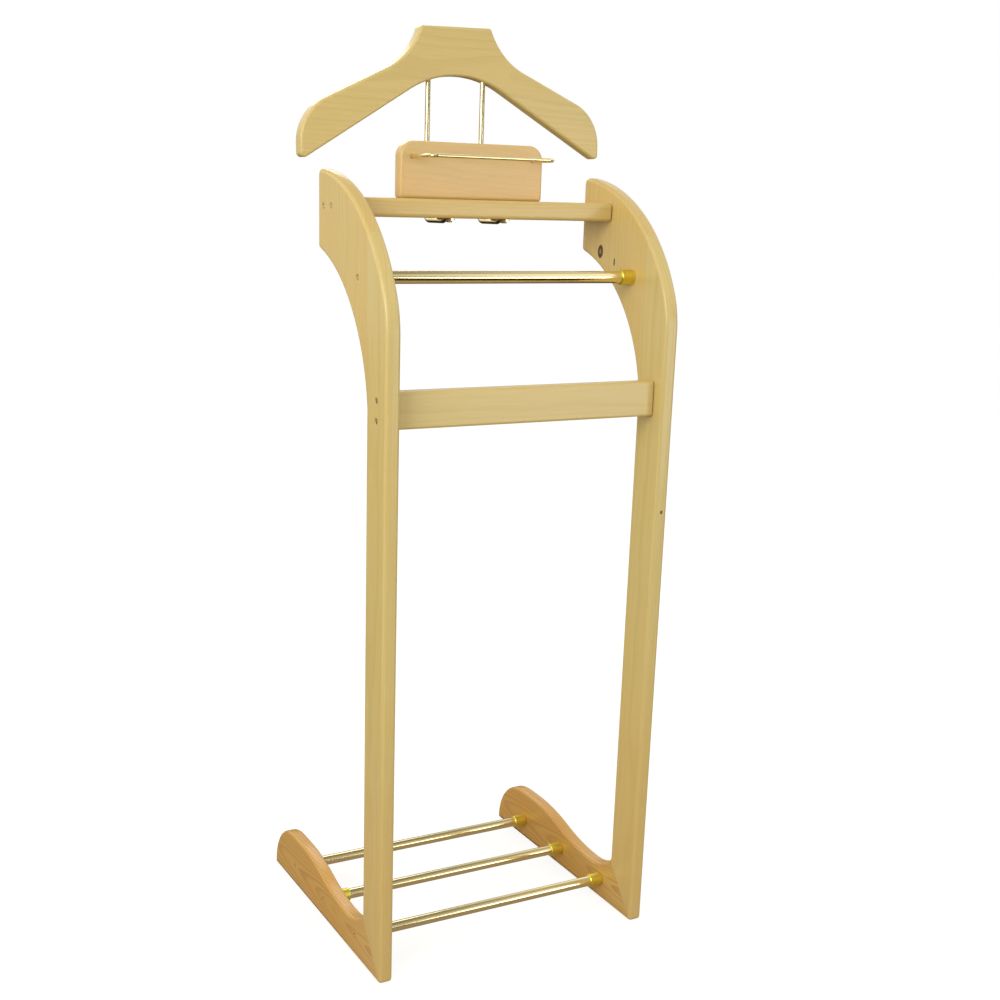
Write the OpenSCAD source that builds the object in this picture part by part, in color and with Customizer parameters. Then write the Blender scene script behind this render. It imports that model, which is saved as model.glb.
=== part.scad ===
/* [Stand] */
// Width over the outer faces of the two side frames
stand_w = 425; // [380:1:480]
// Thickness of every pine board
board_t = 20; // [18:0.5:22]
// Length of a foot from front to back
foot_len = 398; // [380:1:420]
// Width of a post seen from the side
post_w = 58; // [52:1:64]

/* [Foot] */
// Height of the foot at its lowest place behind the post
foot_dip_h = 51; // [48:0.5:54]
// Radius of the sweep from there up into the post
foot_sweep_r = 80; // [70:1:90]
// Height of the hump near the rear end
foot_hump_h = 78.5; // [75:0.5:84]
// Radius of the hump
foot_hump_r = 300; // [260:5:320]
// Distance from the front to the lowest place of the foot's top
foot_dip_y = 115; // [110:1:120]
// Distance from the front to the start of the hump
foot_hump_y = 295; // [285:1:305]
// Radius of the rounded rear end
foot_nose_r = 75; // [65:1:75]

/* [Head] */
// Radius of the front curve of the head
head_front_r = 247; // [243:1:252]
// Distance from the front to the centre of the front curve
head_front_y = 237; // [230:1:240]
// Height of the centre of the front curve
head_front_z = 812; // [790:1:830]
// Radius of the blend between the post's straight front and the front curve
head_blend_r = 130; // [110:1:150]
// Distance from the front to the rear edge of the head
head_depth = 216; // [210:1:230]
// Radius of the hollow rear curve of the head
head_rear_r = 225.5; // [225:0.5:228]
// Distance from the front to the centre of the rear curve
head_rear_y = 282; // [280:0.5:282]
// Height of the centre of the rear curve
head_rear_z = 743; // [735:1:750]
// Radius of the head's upper rear corner
head_corner_r = 8; // [5:1:12]

/* [Rail, shelf and board] */
// Height of the middle rail's lower edge
rail_z = 747; // [700:1:760]
// Height of the middle rail itself
rail_h = 47; // [40:1:52]
// Distance from the front to the middle rail's front face
rail_y = 18; // [12:1:24]
// Height of the shelf's underside
shelf_z = 999; // [985:1:1005]
// Thickness of the shelf
shelf_t = 24; // [22:1:28]
// Distance from the front to the shelf's front edge
shelf_y = 140; // [136:1:144]
// Width of the back board that stands on the shelf
back_board_w = 215; // [200:1:230]
// Height of the back board
back_board_h = 73; // [68:1:80]
// Radius of the back board's upper corners
back_board_r = 20; // [12:1:26]
// Distance from the front to the back board's front face
back_board_y = 190; // [188:1:194]

/* [Brass bars] */
// Outer diameter of the trouser bar
trouser_d = 16; // [14:0.5:18]
// Distance from the front to the trouser bar
trouser_y = 87; // [84:1:92]
// Height of the trouser bar
trouser_z = 927; // [922:1:932]
// Outer diameter of the shoe bars
shoe_d = 15; // [13:0.5:16]
// Distance from the front to the front shoe bar
shoe_y = 83; // [80:1:90]
// Distance from one shoe bar to the next
shoe_pitch = 114; // [105:1:115]
// Height of the shoe bars
shoe_z = 31; // [28:1:32]
// Wall of the brass tubes
tube_wall = 1; // [0.8:0.1:1.5]
// Length of a socket that holds a tube's end
socket_len = 20; // [16:1:24]

/* [Tie bar] */
// Diameter of the tie bar's wire
tie_d = 5; // [4:0.5:6]
// Distance between the centres of its two legs
tie_w = 182; // [170:1:188]
// Distance from the front to its front run
tie_y = 133; // [130:1:138]
// Height of the tie bar
tie_z = 1076; // [1070:1:1080]

/* [Hanger] */
// Width of the hanger over its tips
hanger_w = 455; // [440:1:480]
// Thickness of the hanger
hanger_t = 20; // [18:0.5:24]
// Distance from the front to the hanger's middle plane and its rods
hanger_y = 248; // [244:1:254]
// Height of the hanger's tips above the floor
hanger_z = 1100; // [1095:1:1110]
// Height of the flat neck above the tips
neck_h = 145.5; // [144:0.5:152]
// Width of the flat on top of the neck
neck_w = 105; // [96:1:108]
// Radius of the hollow between neck and shoulder
neck_r = 95; // [90:1:100]
// Downward slope of the shoulders in degrees
shoulder_slope = 24; // [22:0.5:26]
// Radius of the shoulders' rounded ends
tip_r = 62; // [56:1:66]
// Height of the arch under the neck, above the tips
arch_h = 83.5; // [80:0.5:88]
// Radius of the arch
arch_r = 139; // [130:1:150]
// Slope of the straight underside in degrees
under_slope = 30; // [29:0.5:31]
// How far the hanger sits out of level on its two rods, in degrees
hanger_lean = 1.7; // [0:0.1:2]
// Diameter of the two rods that carry the hanger
rod_d = 7; // [6:0.5:8]
// Distance between the two rods
rod_gap = 83; // [76:1:90]

/* [Hidden] */

$fn = 96;
LEFT = -1;
RIGHT = 1;
SIDES = [LEFT, RIGHT];
PINE = "BurlyWood";
HONEY_PINE = "Peru";
BRASS = "Gold";
BEECH = "Wheat";
eps = 0.5;

// Side frames
inner_x = stand_w / 2 - board_t;
mid_x = stand_w / 2 - board_t / 2;
front_c = [head_front_y, head_front_z];
post_top_z = head_front_z + sqrt(pow(head_front_r, 2) - pow(head_front_y - post_w, 2));
post_top_a = atan2(post_top_z - head_front_z, post_w - head_front_y);
blend_rise = sqrt(
    pow(head_front_r - head_blend_r, 2) - pow(head_front_y - head_blend_r, 2)
);
blend_c = [head_blend_r, head_front_z + blend_rise];
blend_a = atan2(blend_rise, head_blend_r - head_front_y);
corner_y = head_depth - head_corner_r;
corner_rise = sqrt(pow(head_front_r - head_corner_r, 2) - pow(head_front_y - corner_y, 2));
corner_c = [corner_y, head_front_z + corner_rise];
corner_a = atan2(corner_rise, corner_y - head_front_y);
head_toe_z = head_rear_z + sqrt(pow(head_rear_r, 2) - pow(head_rear_y - post_w, 2));
head_heel_z = head_rear_z + sqrt(pow(head_rear_r, 2) - pow(head_rear_y - head_depth, 2));

// The foot's hump and dip are two arcs that meet on the line between their centres
hump_c = [foot_hump_y, foot_hump_h - foot_hump_r];
hump_rise = foot_dip_h - hump_c[1];
hump_run = foot_hump_y - foot_dip_y;
foot_dip_r = (pow(hump_run, 2) + pow(hump_rise, 2) - pow(foot_hump_r, 2))
    / (2 * (foot_hump_r - hump_rise));
dip_c = [foot_dip_y, foot_dip_h + foot_dip_r];
hump_turn = atan2(dip_c[1] - hump_c[1], dip_c[0] - hump_c[0]);

// The sweep starts in the lowest place and ends at the post
sweep_c = [foot_dip_y, foot_dip_h + foot_sweep_r];
sweep_turn = asin((foot_dip_y - post_w) / foot_sweep_r);
foot_neck_h = sweep_c[1] - foot_sweep_r * cos(sweep_turn);

// Bars, each as [distance from the front, height, diameter]
shoe_bars = [for (i = [0:2]) [shoe_y + i * shoe_pitch, shoe_z, shoe_d]];
trouser = [trouser_y, trouser_z, trouser_d];
bars = concat(shoe_bars, [trouser]);
socket_wall = 2;
socket_base = 3;
fit_gap = 0.05;
plug_len = 28;

// Screws: countersunk, shank and head radius, head depth, and how far they are let in
shank_r = 2;
pilot_r = 2.05;
clear_r = 2.25;
head_r = 4;
head_h = 2.4;
let_in = 0.8;
sink_r = 4.3;
rail_screw_len = 50;
bar_screw_len = 38;
point_len = 4;
point_r = 0.4;
spare_depth = 1;
rail_screw_edge = 11;
rail_screw_z = [rail_z + rail_screw_edge, rail_z + rail_h - rail_screw_edge];
shelf_screw_y = [172, 197];
shelf_screw_z = shelf_z + shelf_t / 2;
board_screw_x = 70;
board_screw_y = back_board_y + board_t / 2;
board_screw_len = 50;

// Dowels
dowel_r = 4;
mitre_dowel_len = 36;
mitre_places = [0.36, 0.7];
head_dowel_len = 30;
head_dowel_z = [870, 912, 952];
mitre_angle = atan2(foot_neck_h, post_w);

// Tie bar
tie_bend = 8;
tie_leg_depth = 14;

// Hanger rods
rod_bend = 12;
rod_z = shelf_z - rod_d / 2;
rod_reach = 107;
rod_top_z = hanger_z + rod_reach;
tongue_t = 3;
tongue_w = 12;
tongue_y = [168, 194];
tongue_lap = 6;
rod_screw_y = 177;
rod_screw_len = 18;
pan_r = 4.2;
pan_h = 2.5;

// Hanger outline, measured from the middle of its tips
half_w = hanger_w / 2;
slope_dir = [sin(shoulder_slope), cos(shoulder_slope)];
neck_rise = 32;
neck_c = [neck_w / 2 + sqrt(pow(neck_r, 2) - pow(neck_rise, 2)), neck_h + neck_rise];
shoulder_top = neck_c - neck_r * slope_dir;
shoulder_offset = shoulder_top * slope_dir;
tip_c = [
    half_w - tip_r,
    (shoulder_offset - tip_r - (half_w - tip_r) * slope_dir[0]) / slope_dir[1]
];
arch_c = [0, arch_h - arch_r];
arch_end = arch_c + arch_r * [sin(under_slope), cos(under_slope)];
heel_r = 6;
heel_c = [
    half_w - heel_r,
    arch_end[1] - (half_w - heel_r - arch_end[0]) * tan(under_slope) + heel_r / cos(under_slope)
];
lean_pivot = (heel_c[1] + tip_c[1]) / 2;

// Points along an arc from angle a to angle b, one every two degrees or closer
function arc(c, r, a, b) =
    let (n = ceil(abs(b - a) / 2))
    [for (i = [0:n]) c + r * [cos(a + (b - a) * i / n), sin(a + (b - a) * i / n)]];

// Everything is drawn from the front face backwards, then centred on the floor
module centred() {
    translate([0, -foot_len / 2, 0]) children();
}

// A flat board in the upright plane of one side frame
module side_board(side) {
    translate([side == LEFT ? -stand_w / 2 : inner_x, 0, 0])
        rotate([90, 0, 90])
            linear_extrude(board_t) children();
}

// Places a child, drawn along +X from the outer face inwards, on one side
module from_side(side, y, z) {
    translate([side * stand_w / 2, y, z])
        rotate([0, 0, side == LEFT ? 0 : 180]) children();
}

// A rod along +X
module rod_x(r, x0, x1) {
    translate([x0, 0, 0]) rotate([0, 90, 0]) cylinder(r = r, h = x1 - x0);
}

// Countersunk wood screw along +X, its head at the start
module wood_screw(len) {
    translate([let_in, 0, 0]) rotate([0, 90, 0]) {
        cylinder(r1 = head_r, r2 = shank_r, h = head_h);
        cylinder(r = shank_r, h = len - let_in - point_len);
        translate([0, 0, len - let_in - point_len])
            cylinder(r1 = shank_r, r2 = point_r, h = point_len);
    }
}

// Clearance hole and countersink for a wood screw through a board
module screw_way(depth) {
    rod_x(clear_r, -eps, depth + eps);
    rod_x(sink_r, -eps, let_in + fit_gap);
    translate([let_in, 0, 0])
        rotate([0, 90, 0]) cylinder(r1 = sink_r, r2 = clear_r, h = head_h);
}

// Pilot hole for a screw into the end of a rail
module screw_pilot(len) {
    rod_x(pilot_r, board_t - eps, len + spare_depth);
}

module mitre_dowel_row(r, len) {
    for (p = mitre_places)
        translate([0, p * post_w, p * foot_neck_h])
            rotate([mitre_angle, 0, 0]) cylinder(r = r, h = len, center = true);
}

module head_dowel_row(r, len) {
    for (z = head_dowel_z)
        translate([0, post_w, z]) rotate([90, 0, 0]) cylinder(r = r, h = len, center = true);
}

module post(side) {
    color(PINE) centred() difference() {
        side_board(side) polygon(concat(
            [[0, 0], [post_w, foot_neck_h]],
            arc(front_c, head_front_r, post_top_a, blend_a),
            arc(blend_c, head_blend_r, blend_a, 180)
        ));
        for (z = rail_screw_z)
            from_side(side, rail_y + board_t / 2, z) screw_way(board_t);
        translate([side * mid_x, 0, 0]) {
            mitre_dowel_row(dowel_r + fit_gap, mitre_dowel_len + spare_depth);
            head_dowel_row(dowel_r + fit_gap, head_dowel_len + spare_depth);
        }
    }
}

module head(side) {
    rear_heel = atan2(head_heel_z - head_rear_z, head_depth - head_rear_y);
    rear_toe = atan2(head_toe_z - head_rear_z, post_w - head_rear_y);
    color(PINE) centred() difference() {
        side_board(side) polygon(concat(
            arc(front_c, head_front_r, post_top_a, corner_a),
            arc(corner_c, head_corner_r, corner_a, 0),
            arc([head_rear_y, head_rear_z], head_rear_r, rear_heel, rear_toe)
        ));
        for (y = shelf_screw_y)
            from_side(side, y, shelf_screw_z) screw_way(board_t);
        from_side(side, trouser_y, trouser_z) screw_way(board_t);
        translate([side * mid_x, 0, 0]) head_dowel_row(dowel_r + fit_gap, head_dowel_len + spare_depth);
    }
}

module foot(side) {
    nose_c = [foot_len - foot_nose_r, foot_hump_h - foot_nose_r];
    color(HONEY_PINE) centred() difference() {
        side_board(side) polygon(concat(
            [[0, 0], [foot_len, 0]],
            arc(nose_c, foot_nose_r, 0, 90),
            arc(hump_c, foot_hump_r, 90, hump_turn),
            arc(dip_c, foot_dip_r, hump_turn + 180, 270),
            arc(sweep_c, foot_sweep_r, 270, 270 - sweep_turn)
        ));
        for (b = shoe_bars)
            from_side(side, b[0], b[1]) screw_way(board_t);
        translate([side * mid_x, 0, 0])
            mitre_dowel_row(dowel_r + fit_gap, mitre_dowel_len + spare_depth);
    }
}

module middle_rail() {
    color(PINE) centred() difference() {
        translate([-inner_x, rail_y, rail_z]) cube([2 * inner_x, board_t, rail_h]);
        for (side = SIDES, z = rail_screw_z)
            from_side(side, rail_y + board_t / 2, z) screw_pilot(rail_screw_len);
    }
}

module top_shelf() {
    color(PINE) centred() difference() {
        translate([-inner_x, shelf_y, shelf_z])
            cube([2 * inner_x, head_depth - shelf_y, shelf_t]);
        for (side = SIDES, y = shelf_screw_y)
            from_side(side, y, shelf_screw_z) screw_pilot(rail_screw_len);
        for (side = SIDES) {
            translate([side * board_screw_x, board_screw_y, shelf_z])
                rotate([0, -90, 0]) screw_way(shelf_t);
            translate([side * rod_gap / 2, rod_screw_y, shelf_z - eps])
                cylinder(r = pilot_r, h = rod_screw_len - tongue_t + spare_depth);
        }
    }
}

module back_board() {
    top = back_board_h - back_board_r;
    corner = back_board_w / 2 - back_board_r;
    color(PINE) centred() difference() {
        translate([0, back_board_y + board_t, shelf_z + shelf_t])
            rotate([90, 0, 0]) linear_extrude(board_t) polygon(concat(
                [[-back_board_w / 2, 0], [back_board_w / 2, 0]],
                arc([corner, top], back_board_r, 0, 90),
                arc([-corner, top], back_board_r, 90, 180)
            ));
        for (side = SIDES) {
            translate([side * board_screw_x, board_screw_y, shelf_z])
                rotate([0, -90, 0]) rod_x(pilot_r, shelf_t - eps, board_screw_len + spare_depth);
            translate([side * tie_w / 2, back_board_y - eps, tie_z])
                rotate([-90, 0, 0])
                    cylinder(r = tie_d / 2 + fit_gap, h = tie_leg_depth + eps + fit_gap);
        }
    }
}

// U-shaped wire: a front run, two bends and two legs let into the back board
module tie_bar() {
    color(BRASS) centred() translate([0, tie_y, tie_z]) {
        rod_x(tie_d / 2, -tie_w / 2 + tie_bend, tie_w / 2 - tie_bend);
        for (side = SIDES) {
            translate([side * (tie_w / 2 - tie_bend), tie_bend, 0])
                rotate([0, 0, side == LEFT ? 180 : 270])
                    rotate_extrude(angle = 90) translate([tie_bend, 0]) circle(d = tie_d);
            translate([side * tie_w / 2, tie_bend, 0])
                rotate([-90, 0, 0])
                    cylinder(d = tie_d, h = back_board_y + tie_leg_depth - tie_y - tie_bend);
        }
    }
}

// Right half of the hanger's outline, from the neck's middle round to the arch's middle
function hanger_half() = concat(
    [[0, neck_h]],
    arc(neck_c, neck_r, 180 + asin(neck_rise / neck_r), 270 - shoulder_slope),
    arc(tip_c, tip_r, 90 - shoulder_slope, 0),
    arc(heel_c, heel_r, 0, -90 - under_slope),
    arc(arch_c, arch_r, 90 - under_slope, 90)
);

module hanger() {
    color(PINE) centred() difference() {
        translate([0, hanger_y + hanger_t / 2, hanger_z])
            rotate([90, 0, 0]) linear_extrude(hanger_t)
                translate([0, lean_pivot]) rotate(hanger_lean) translate([0, -lean_pivot])
                    union() {
                        polygon(hanger_half());
                        mirror([1, 0]) polygon(hanger_half());
                    }
        for (side = SIDES)
            translate([side * rod_gap / 2, hanger_y, hanger_z])
                cylinder(r = rod_d / 2 + fit_gap, h = rod_top_z - hanger_z + fit_gap);
    }
}

// Upright rod with a bend at the bottom and a flattened tongue under the shelf
module hanger_rod(side) {
    color(BRASS) centred() translate([side * rod_gap / 2, 0, 0]) {
        translate([0, hanger_y, rod_z + rod_bend])
            cylinder(d = rod_d, h = rod_top_z - rod_z - rod_bend);
        translate([0, hanger_y - rod_bend, rod_z + rod_bend])
            rotate([90, 0, 90])
                rotate([0, 0, 270])
                    rotate_extrude(angle = 90) translate([rod_bend, 0]) circle(d = rod_d);
        translate([0, tongue_y[1] - tongue_lap, rod_z])
            rotate([-90, 0, 0])
                cylinder(d = rod_d, h = hanger_y - rod_bend - tongue_y[1] + tongue_lap);
        difference() {
            translate([0, 0, shelf_z - tongue_t]) linear_extrude(tongue_t) {
                translate([0, tongue_y[0] + tongue_w / 2]) circle(d = tongue_w);
                translate([-tongue_w / 2, tongue_y[0] + tongue_w / 2])
                    square([tongue_w, tongue_y[1] - tongue_y[0] - tongue_w / 2]);
            }
            translate([0, rod_screw_y, shelf_z - tongue_t - eps])
                cylinder(r = clear_r, h = tongue_t + 2 * eps);
        }
    }
}

module hanger_rod_screws() {
    color(BRASS) centred() for (side = SIDES)
        translate([side * rod_gap / 2, rod_screw_y, shelf_z - tongue_t - pan_h]) {
            cylinder(r = pan_r, h = pan_h);
            translate([0, 0, pan_h]) cylinder(r = shank_r, h = rod_screw_len - point_len);
            translate([0, 0, pan_h + rod_screw_len - point_len])
                cylinder(r1 = shank_r, r2 = point_r, h = point_len);
        }
}

module tube(bar) {
    reach = inner_x - socket_base - fit_gap;
    color(BRASS) centred() translate([0, bar[0], bar[1]]) difference() {
        rod_x(bar[2] / 2, -reach, reach);
        rod_x(bar[2] / 2 - tube_wall, -reach - eps, reach + eps);
    }
}

// Cup against the inner face that takes a tube's end
module socket(side, bar) {
    from_side(side, bar[0], bar[1]) difference() {
        rod_x(bar[2] / 2 + socket_wall, board_t, board_t + socket_len);
        rod_x(bar[2] / 2 + fit_gap, board_t + socket_base, board_t + socket_len + eps);
        rod_x(clear_r, board_t - eps, board_t + socket_base + eps);
    }
}

module trouser_bar_sockets() {
    color(BRASS) centred() for (side = SIDES) socket(side, trouser);
}

module shoe_bar_sockets(side) {
    color(BRASS) centred() for (b = shoe_bars) socket(side, b);
}

// Plug inside a tube's end that the screw bites into
module bar_plugs(side) {
    start = board_t + socket_base + 2 * fit_gap;
    color(BEECH) centred() for (b = bars)
        from_side(side, b[0], b[1]) difference() {
            rod_x(b[2] / 2 - tube_wall - fit_gap, start, start + plug_len);
            rod_x(pilot_r, start - eps, bar_screw_len + spare_depth);
        }
}

module bar_screws(side) {
    color(BRASS) centred() for (b = bars) from_side(side, b[0], b[1]) wood_screw(bar_screw_len);
}

module middle_rail_screws() {
    color(BRASS) centred() for (side = SIDES, z = rail_screw_z)
        from_side(side, rail_y + board_t / 2, z) wood_screw(rail_screw_len);
}

module shelf_screws() {
    color(BRASS) centred() for (side = SIDES, y = shelf_screw_y)
        from_side(side, y, shelf_screw_z) wood_screw(rail_screw_len);
}

module board_screws() {
    color(BRASS) centred() for (side = SIDES)
        translate([side * board_screw_x, board_screw_y, shelf_z])
            rotate([0, -90, 0]) wood_screw(board_screw_len);
}

module mitre_dowels(side) {
    color(BEECH) centred() translate([side * mid_x, 0, 0])
        mitre_dowel_row(dowel_r, mitre_dowel_len);
}

module head_dowels(side) {
    color(BEECH) centred() translate([side * mid_x, 0, 0])
        head_dowel_row(dowel_r, head_dowel_len);
}

post(LEFT);  // left_post
post(RIGHT);  // right_post
head(LEFT);  // left_head
head(RIGHT);  // right_head
foot(LEFT);  // left_foot
foot(RIGHT);  // right_foot
middle_rail();
top_shelf();
back_board();
tie_bar();
hanger();
hanger_rod(LEFT);  // left_hanger_rod
hanger_rod(RIGHT);  // right_hanger_rod
hanger_rod_screws();
tube(trouser);  // trouser_bar
trouser_bar_sockets();
tube(shoe_bars[0]);  // front_shoe_bar
tube(shoe_bars[1]);  // middle_shoe_bar
tube(shoe_bars[2]);  // rear_shoe_bar
shoe_bar_sockets(LEFT);  // left_shoe_bar_sockets
shoe_bar_sockets(RIGHT);  // right_shoe_bar_sockets
bar_plugs(LEFT);  // left_bar_plugs
bar_plugs(RIGHT);  // right_bar_plugs
bar_screws(LEFT);  // left_bar_screws
bar_screws(RIGHT);  // right_bar_screws
middle_rail_screws();
shelf_screws();
board_screws();
mitre_dowels(LEFT);  // left_mitre_dowels
mitre_dowels(RIGHT);  // right_mitre_dowels
head_dowels(LEFT);  // left_head_dowels
head_dowels(RIGHT);  // right_head_dowels
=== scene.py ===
"""Valet stand in varnished pine and polished brass, modelled on its CAD frame."""

import math
from contextlib import contextmanager

import bpy
from mathutils import Matrix, Vector


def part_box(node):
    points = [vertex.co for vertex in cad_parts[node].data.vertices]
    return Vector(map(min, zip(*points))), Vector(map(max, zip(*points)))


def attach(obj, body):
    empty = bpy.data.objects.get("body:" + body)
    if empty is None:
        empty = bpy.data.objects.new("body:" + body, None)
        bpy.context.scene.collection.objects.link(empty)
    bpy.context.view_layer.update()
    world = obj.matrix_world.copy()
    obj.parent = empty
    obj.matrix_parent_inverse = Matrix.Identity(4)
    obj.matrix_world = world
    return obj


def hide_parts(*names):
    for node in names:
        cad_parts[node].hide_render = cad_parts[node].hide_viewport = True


bl_info = {
    "name": "Valet Stand",
    "version": (1, 0, 0),
    "blender": (4, 5, 0),
    "location": "View3D > Sidebar > Valet Stand",
    "description": "Models a pine valet stand with brass bars on its CAD frame",
    "category": "Add Mesh",
}

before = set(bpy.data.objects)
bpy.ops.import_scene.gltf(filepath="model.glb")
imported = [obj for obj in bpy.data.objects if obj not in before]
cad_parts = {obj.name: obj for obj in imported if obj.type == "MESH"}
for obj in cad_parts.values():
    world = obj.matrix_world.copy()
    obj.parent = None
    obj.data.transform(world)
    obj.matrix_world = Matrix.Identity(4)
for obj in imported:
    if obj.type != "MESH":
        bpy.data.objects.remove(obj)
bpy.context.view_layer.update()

X = Vector((1, 0, 0))
Y = Vector((0, 1, 0))
Z = Vector((0, 0, 1))
SIDES = {"left": -1, "right": 1}
BODY = "root"
SHOE_BARS = ["front_shoe_bar", "middle_shoe_bar", "rear_shoe_bar"]
ARC_STEP = 2.0
MERGE = 1e-5
SMOOTH_ANGLE = math.radians(32)
SHARP_ANGLE = math.radians(30)
FLAT_ANGLE = math.radians(0.05)
FIT = 0.002
OVERCUT = 0.001
HAIR = 0.00002
EASE = 0.0003
SOCKET_EASE = 0.00025
HEAD_EDGE = 0.0002
POINT_TIP, POINT_R = 0.0001, 0.0004
PAN_ROUND, PAN_DOME = 0.45, 0.9
RECESS_SHARE, RECESS_SPREAD, RECESS_TAPER = 0.9, 1.15, 0.62
SPIN_STEPS = 32
# how the tongue's rounded end narrows: (share of the width so far, length)
TONGUE_END = ((0.93, 0.002), (0.78, 0.0018), (0.50, 0.0012))
TONGUE_THINNING = 0.97
TUBE_CHAMFER = 0.0003


# ---------------------------------------------------------------- settings


def length(name, description, default, low=0.0, high=2.0):
    return bpy.props.FloatProperty(
        name=name, description=description, default=default, min=low, max=high,
        precision=4, subtype="DISTANCE", unit="LENGTH",
    )


def angle(name, description, degrees):
    return bpy.props.FloatProperty(
        name=name, description=description, default=math.radians(degrees),
        subtype="ANGLE", unit="ROTATION",
    )


def colour(name, description, default):
    return bpy.props.FloatVectorProperty(
        name=name, description=description, default=default, min=0.0, max=1.0,
        size=3, subtype="COLOR",
    )


def amount(name, description, default, high=1.0):
    return bpy.props.FloatProperty(
        name=name, description=description, default=default, min=0.0, max=high,
    )


class ValetSizes(bpy.types.PropertyGroup):
    """Roundings and curves of the stand's pieces"""

    frame_round: length("Side frame rounding", "Radius of the side frames' edges", 0.005)
    rail_round: length("Rail rounding", "Radius of the middle rail's edges", 0.0035)
    shelf_round: length("Shelf rounding", "Radius of the shelf's edges", 0.005)
    board_round: length("Back board rounding", "Radius of the back board's edges", 0.004)
    hanger_round: length("Hanger rounding", "Radius of the hanger's edges", 0.0035)
    foot_dip_h: length("Foot dip", "Height of the foot at its lowest place", 0.051)
    foot_sweep_r: length("Foot sweep", "Radius of the sweep from the dip up into the post", 0.080)
    foot_hump_r: length("Foot hump", "Radius of the hump on the foot", 0.300)
    foot_hump_y: length("Hump place", "Distance from the front to the hump's start", 0.295)
    foot_dip_y: length("Dip place", "Distance from the front to the foot's lowest place", 0.115)
    foot_nose_r: length("Foot end", "Radius of the foot's rounded rear end", 0.075)
    head_front_r: length("Head front curve", "Radius of the head's front curve", 0.247)
    head_front_y: length("Front curve place", "Distance from the front to its centre", 0.237)
    head_front_z: length("Front curve height", "Height of the front curve's centre", 0.812)
    head_blend_r: length("Front blend", "Radius between the straight front and the curve", 0.130)
    head_corner_r: length("Head corner", "Radius of the head's upper rear corner", 0.008)
    head_rear_r: length("Head rear curve", "Radius of the head's hollow rear curve", 0.2255)
    head_rear_y: length("Rear curve place", "Distance from the front to its centre", 0.282)
    head_rear_z: length("Rear curve height", "Height of the rear curve's centre", 0.743)
    board_corner_r: length("Board corners", "Radius of the back board's upper corners", 0.020)
    tips_z: length("Hanger tips", "Height of the hanger's tips", 1.100)
    neck_h: length("Hanger neck", "Height of the neck over the tips", 0.1455)
    neck_w: length("Neck width", "Width of the flat on top of the neck", 0.105)
    neck_r: length("Neck curve", "Radius between neck and shoulder", 0.095)
    neck_rise: length("Neck curve height", "Height of that curve's centre over the neck", 0.032)
    hanger_w: length("Hanger width", "Width of the hanger over its tips", 0.455)
    tip_r: length("Shoulder ends", "Radius of the shoulders' rounded ends", 0.062)
    heel_r: length("Tip corners", "Radius of the corners under the tips", 0.006)
    arch_h: length("Arch height", "Height of the arch over the tips", 0.0835)
    arch_r: length("Arch curve", "Radius of the arch", 0.139)
    shoulder_slope: angle("Shoulder slope", "Downward slope of the shoulders", 24)
    under_slope: angle("Underside slope", "Slope of the straight underside", 30)
    hanger_lean: angle("Hanger lean", "How far the hanger sits out of level", 1.7)
    tube_wall: length("Tube wall", "Wall of the brass tubes", 0.001)
    socket_base: length("Socket base", "Thickness of a socket's base", 0.003)
    socket_wall: length("Socket wall", "Wall of a socket round its tube", 0.002)
    socket_lip: length("Socket lip", "Size of the broken edge on a socket", 0.0008)
    tie_d: length("Tie bar wire", "Diameter of the tie bar's wire", 0.005)
    tie_bend: length("Tie bar bend", "Radius of the tie bar's bends", 0.008)
    rod_d: length("Rod diameter", "Diameter of the hanger's rods", 0.007)
    rod_bend: length("Rod bend", "Radius of the bend under the shelf", 0.012)
    tongue_t: length("Tongue thickness", "Thickness of a rod's flattened end", 0.003)
    tongue_back: length("Tongue start", "Where flattening starts, behind the screw", 0.018)
    tongue_press: length("Tongue press", "Length over which a rod goes flat", 0.010)
    screw_head_r: length("Screw head", "Radius of a countersunk head", 0.004)
    screw_shank_r: length("Screw shank", "Radius of a screw's shank", 0.002)
    screw_cone: length("Head depth", "Depth of a countersunk head", 0.0024)
    screw_let_in: length("Let in", "How deep the screw heads lie under the wood", 0.0008)
    screw_point: length("Screw point", "Length of a screw's tapered point", 0.004)
    long_screw: length("Long screws", "Length of the screws of rail and shelf", 0.0492)
    recess_depth: length("Recess depth", "Depth of the cross recess in a head", 0.0017)
    recess_blade: length("Recess blade", "Width of the cross's arms", 0.0009)
    pan_head_r: length("Pan head", "Radius of the screws that hold the rods", 0.0042)
    pan_head_h: length("Pan head height", "Height of those screws' heads", 0.0025)


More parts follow.
